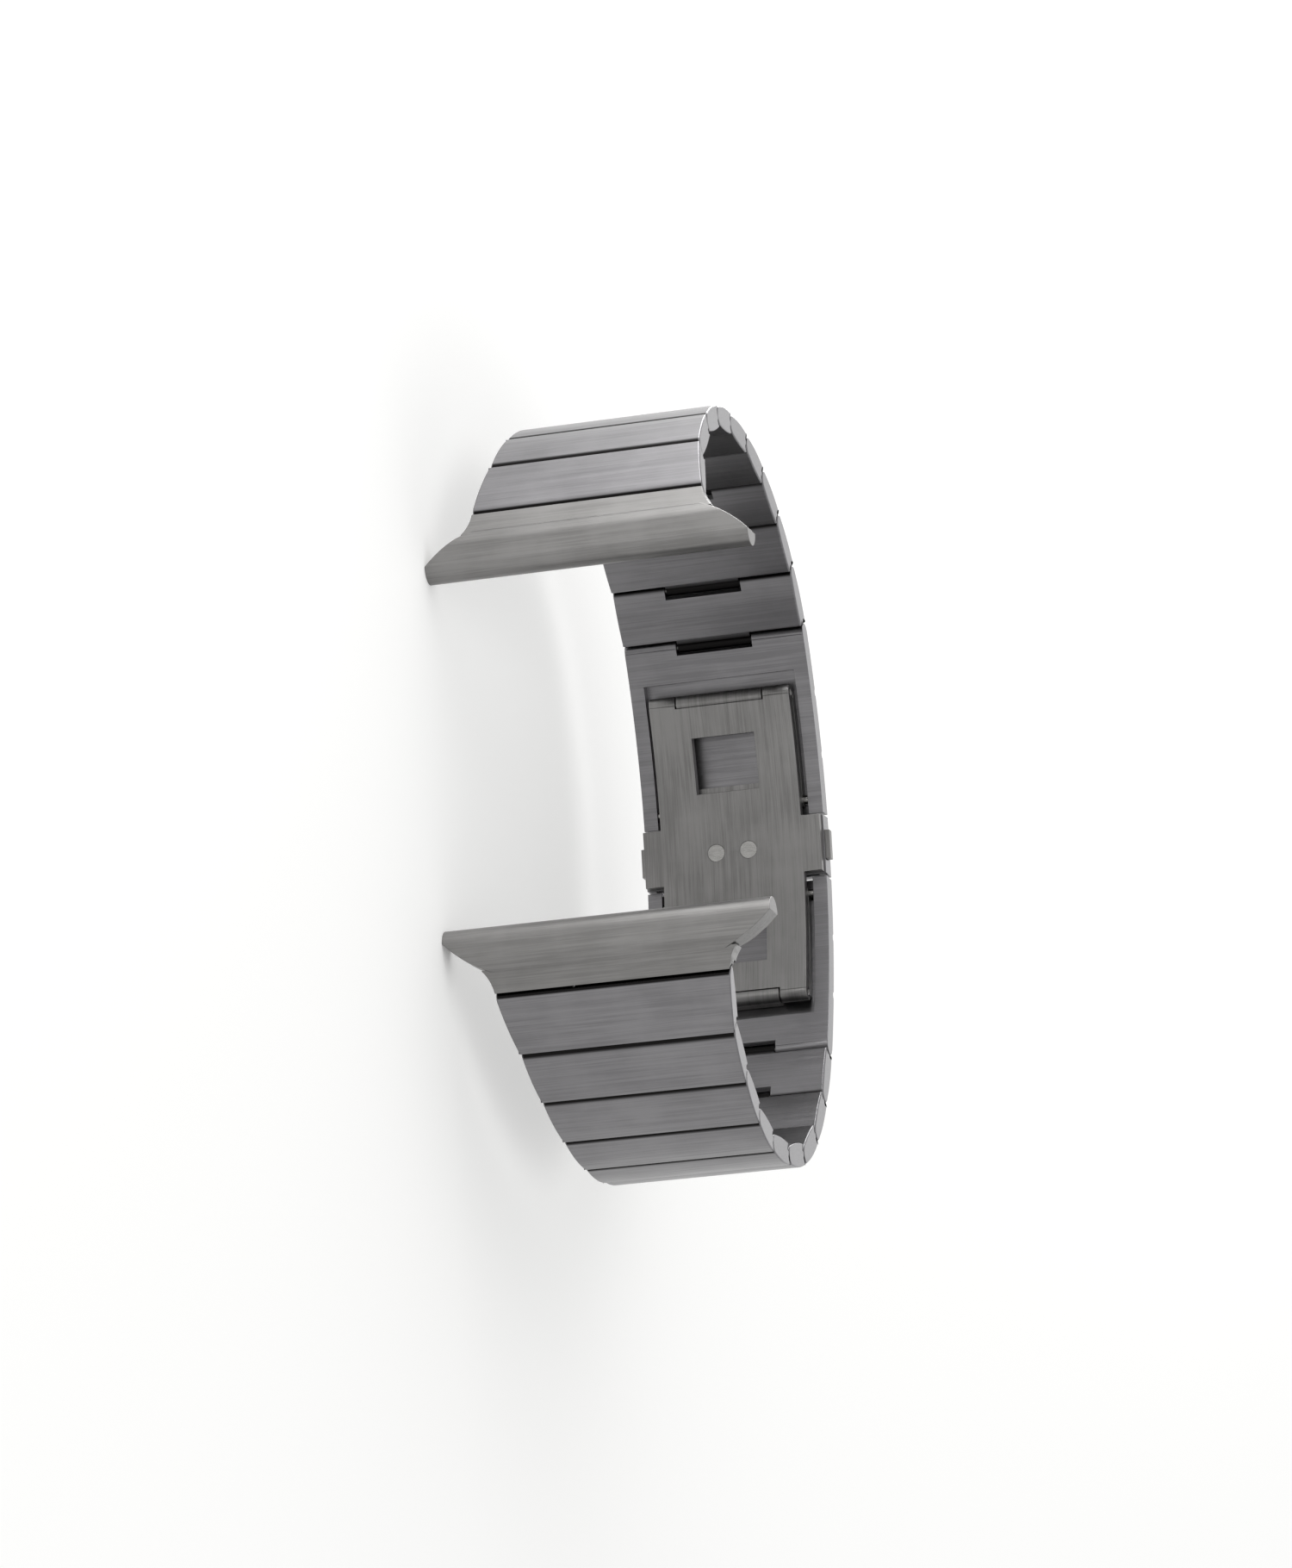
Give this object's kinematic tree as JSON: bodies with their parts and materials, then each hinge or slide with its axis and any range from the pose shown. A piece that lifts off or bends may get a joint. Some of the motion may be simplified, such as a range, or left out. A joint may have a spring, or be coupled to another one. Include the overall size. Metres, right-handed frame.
{
  "type": "metal watch bracelet",
  "caption": "Closed loop of hinged satin steel links with slide-in end connectors and a folding butterfly clasp opened by side buttons.",
  "frame": {"origin": "middle of the loop's box in X and Y, on the plane that the lug tips stand on", "axes": "+Z along the hinge pins, +X towards the arm that ends below the display, +Y from the open side towards the clasp"},
  "size_m": [0.0744, 0.0548, 0.032],
  "materials": {
    "band_steel": "fine satin brushing across the band",
    "clasp_steel": "satin brushing, dulled by wear",
    "pin_steel": "smooth turned steel"
  },
  "bodies": {
    "clasp": {"clasp_base": "clasp_steel", "clasp_housing": "band_steel", "housing_rivets": "pin_steel", "base_pin_six": "pin_steel", "base_pin_twelve": "pin_steel", "button_spring_top": "pin_steel", "button_spring_bottom": "pin_steel"},
    "button_top": {"button_top": "band_steel"},
    "button_bottom": {"button_bottom": "band_steel"},
    "blade_six": {"blade_six": "clasp_steel"},
    "cover_six": {"cover_six": "band_steel", "cover_pin_six": "pin_steel", "pin_six_10": "pin_steel"},
    "link_six_9": {"link_six_9": "band_steel", "pin_six_9": "pin_steel"},
    "link_six_8": {"link_six_8": "band_steel", "pin_six_8": "pin_steel"},
    "link_six_7": {"link_six_7": "band_steel", "pin_six_7": "pin_steel"},
    "link_six_6": {"link_six_6": "band_steel", "pin_six_6": "pin_steel"},
    "link_six_5": {"link_six_5": "band_steel", "pin_six_5": "pin_steel"},
    "link_six_4": {"link_six_4": "band_steel", "pin_six_4": "pin_steel"},
    "link_six_3": {"link_six_3": "band_steel", "pin_six_3": "pin_steel"},
    "link_six_2": {"link_six_2": "band_steel", "pin_six_2": "pin_steel"},
    "link_six_1": {"link_six_1": "band_steel", "pin_six_1": "pin_steel"},
    "connector_six": {"connector_six": "band_steel"},
    "lug_catch_six": {"lug_catch_six": "pin_steel"},
    "blade_twelve": {"blade_twelve": "clasp_steel"},
    "cover_twelve": {"cover_twelve": "band_steel", "cover_pin_twelve": "pin_steel", "pin_twelve_10": "pin_steel"},
    "link_twelve_9": {"link_twelve_9": "band_steel", "pin_twelve_9": "pin_steel"},
    "link_twelve_8": {"link_twelve_8": "band_steel", "pin_twelve_8": "pin_steel"},
    "link_twelve_7": {"link_twelve_7": "band_steel", "pin_twelve_7": "pin_steel"},
    "link_twelve_6": {"link_twelve_6": "band_steel", "pin_twelve_6": "pin_steel"},
    "link_twelve_5": {"link_twelve_5": "band_steel", "pin_twelve_5": "pin_steel"},
    "link_twelve_4": {"link_twelve_4": "band_steel", "pin_twelve_4": "pin_steel"},
    "link_twelve_3": {"link_twelve_3": "band_steel", "pin_twelve_3": "pin_steel"},
    "link_twelve_2": {"link_twelve_2": "band_steel", "pin_twelve_2": "pin_steel"},
    "link_twelve_1": {"link_twelve_1": "band_steel", "pin_twelve_1": "pin_steel"},
    "connector_twelve": {"connector_twelve": "band_steel"},
    "lug_catch_twelve": {"lug_catch_twelve": "pin_steel"}
  },
  "joints": [
    {"name": "press_button_top", "type": "slide", "parent": "clasp", "child": "button_top", "axis": [0, 0, -1], "range_m": [0, 0.0007], "stiffness_N_per_m": 600, "springref_m": -0.0015, "deforming": ["button_spring_top"]},
    {"name": "press_button_bottom", "type": "slide", "parent": "clasp", "child": "button_bottom", "axis": [0, 0, 1], "range_m": [0, 0.0007], "stiffness_N_per_m": 600, "springref_m": -0.0015, "deforming": ["button_spring_bottom"]},
    {"name": "open_blade_six", "type": "hinge", "parent": "clasp", "child": "blade_six", "pos_m": [0.01597, 0.02282, 0.016], "axis": [0, 0, -1], "range_deg": [0, 150]},
    {"name": "swing_cover_six", "type": "hinge", "parent": "blade_six", "child": "cover_six", "pos_m": [0.00524, 0.02588, 0.016], "axis": [0, 0, -1], "range_deg": [-150, 0]},
    {"name": "hinge_six_10", "type": "hinge", "parent": "cover_six", "child": "link_six_9", "pos_m": [0.02186, 0.02215, 0.016], "axis": [0, 0, -1], "range_deg": [-18.4, 21.6]},
    {"name": "hinge_six_9", "type": "hinge", "parent": "link_six_9", "child": "link_six_8", "pos_m": [0.02726, 0.01891, 0.016], "axis": [0, 0, -1], "range_deg": [-23, 17]},
    {"name": "hinge_six_8", "type": "hinge", "parent": "link_six_8", "child": "link_six_7", "pos_m": [0.0318, 0.01453, 0.016], "axis": [0, 0, -1], "range_deg": [-26, 14]},
    {"name": "hinge_six_7", "type": "hinge", "parent": "link_six_7", "child": "link_six_6", "pos_m": [0.03495, 0.00908, 0.016], "axis": [0, 0, -1], "range_deg": [-30, 10]},
    {"name": "hinge_six_6", "type": "hinge", "parent": "link_six_6", "child": "link_six_5", "pos_m": [0.03604, 0.00287, 0.016], "axis": [0, 0, -1], "range_deg": [-21, 19]},
    {"name": "hinge_six_5", "type": "hinge", "parent": "link_six_5", "child": "link_six_4", "pos_m": [0.03593, -0.00343, 0.016], "axis": [0, 0, -1], "range_deg": [-23, 17]},
    {"name": "hinge_six_4", "type": "hinge", "parent": "link_six_4", "child": "link_six_3", "pos_m": [0.03441, -0.00954, 0.016], "axis": [0, 0, -1], "range_deg": [-22, 18]},
    {"name": "hinge_six_3", "type": "hinge", "parent": "link_six_3", "child": "link_six_2", "pos_m": [0.03164, -0.0152, 0.016], "axis": [0, 0, -1], "range_deg": [-19, 21]},
    {"name": "hinge_six_2", "type": "hinge", "parent": "link_six_2", "child": "link_six_1", "pos_m": [0.02803, -0.02036, 0.016], "axis": [0, 0, -1], "range_deg": [-21, 19]},
    {"name": "hinge_six_1", "type": "hinge", "parent": "link_six_1", "child": "connector_six", "pos_m": [0.0235, -0.02474, 0.016], "axis": [0, 0, -1], "range_deg": [-32, 8]},
    {"name": "press_lug_catch_six", "type": "slide", "parent": "connector_six", "child": "lug_catch_six", "axis": [0, -1, 0], "range_m": [0, 0.00045], "stiffness_N_per_m": 300, "springref_m": -0.002},
    {"name": "open_blade_twelve", "type": "hinge", "parent": "clasp", "child": "blade_twelve", "pos_m": [-0.01521, 0.02282, 0.016], "axis": [0, 0, 1], "range_deg": [0, 150]},
    {"name": "swing_cover_twelve", "type": "hinge", "parent": "blade_twelve", "child": "cover_twelve", "pos_m": [-0.00448, 0.02588, 0.016], "axis": [0, 0, 1], "range_deg": [-150, 0]},
    {"name": "hinge_twelve_10", "type": "hinge", "parent": "cover_twelve", "child": "link_twelve_9", "pos_m": [-0.0211, 0.02215, 0.016], "axis": [0, 0, 1], "range_deg": [-21.4, 18.6]},
    {"name": "hinge_twelve_9", "type": "hinge", "parent": "link_twelve_9", "child": "link_twelve_8", "pos_m": [-0.02633, 0.01863, 0.016], "axis": [0, 0, 1], "range_deg": [-24, 16]},
    {"name": "hinge_twelve_8", "type": "hinge", "parent": "link_twelve_8", "child": "link_twelve_7", "pos_m": [-0.03054, 0.01395, 0.016], "axis": [0, 0, 1], "range_deg": [-22, 18]},
    {"name": "hinge_twelve_7", "type": "hinge", "parent": "link_twelve_7", "child": "link_twelve_6", "pos_m": [-0.03369, 0.00849, 0.016], "axis": [0, 0, 1], "range_deg": [-22, 18]},
    {"name": "hinge_twelve_6", "type": "hinge", "parent": "link_twelve_6", "child": "link_twelve_5", "pos_m": [-0.03564, 0.0025, 0.016], "axis": [0, 0, 1], "range_deg": [-23, 17]},
    {"name": "hinge_twelve_5", "type": "hinge", "parent": "link_twelve_5", "child": "link_twelve_4", "pos_m": [-0.03619, -0.00377, 0.016], "axis": [0, 0, 1], "range_deg": [-22, 18]},
    {"name": "hinge_twelve_4", "type": "hinge", "parent": "link_twelve_4", "child": "link_twelve_3", "pos_m": [-0.03542, -0.01003, 0.016], "axis": [0, 0, 1], "range_deg": [-24, 16]},
    {"name": "hinge_twelve_3", "type": "hinge", "parent": "link_twelve_3", "child": "link_twelve_2", "pos_m": [-0.03316, -0.01591, 0.016], "axis": [0, 0, 1], "range_deg": [-26, 14]},
    {"name": "hinge_twelve_2", "type": "hinge", "parent": "link_twelve_2", "child": "link_twelve_1", "pos_m": [-0.02937, -0.02094, 0.016], "axis": [0, 0, 1], "range_deg": [-26, 14]},
    {"name": "hinge_twelve_1", "type": "hinge", "parent": "link_twelve_1", "child": "connector_twelve", "pos_m": [-0.02434, -0.02473, 0.016], "axis": [0, 0, 1], "range_deg": [-25, 15]},
    {"name": "press_lug_catch_twelve", "type": "slide", "parent": "connector_twelve", "child": "lug_catch_twelve", "axis": [0, -1, 0], "range_m": [0, 0.00045], "stiffness_N_per_m": 300, "springref_m": -0.002}
  ],
  "couplings": [
    {"joint": "swing_cover_six", "follows": "open_blade_six", "ratio": -1},
    {"joint": "swing_cover_twelve", "follows": "open_blade_twelve", "ratio": -1}
  ]
}
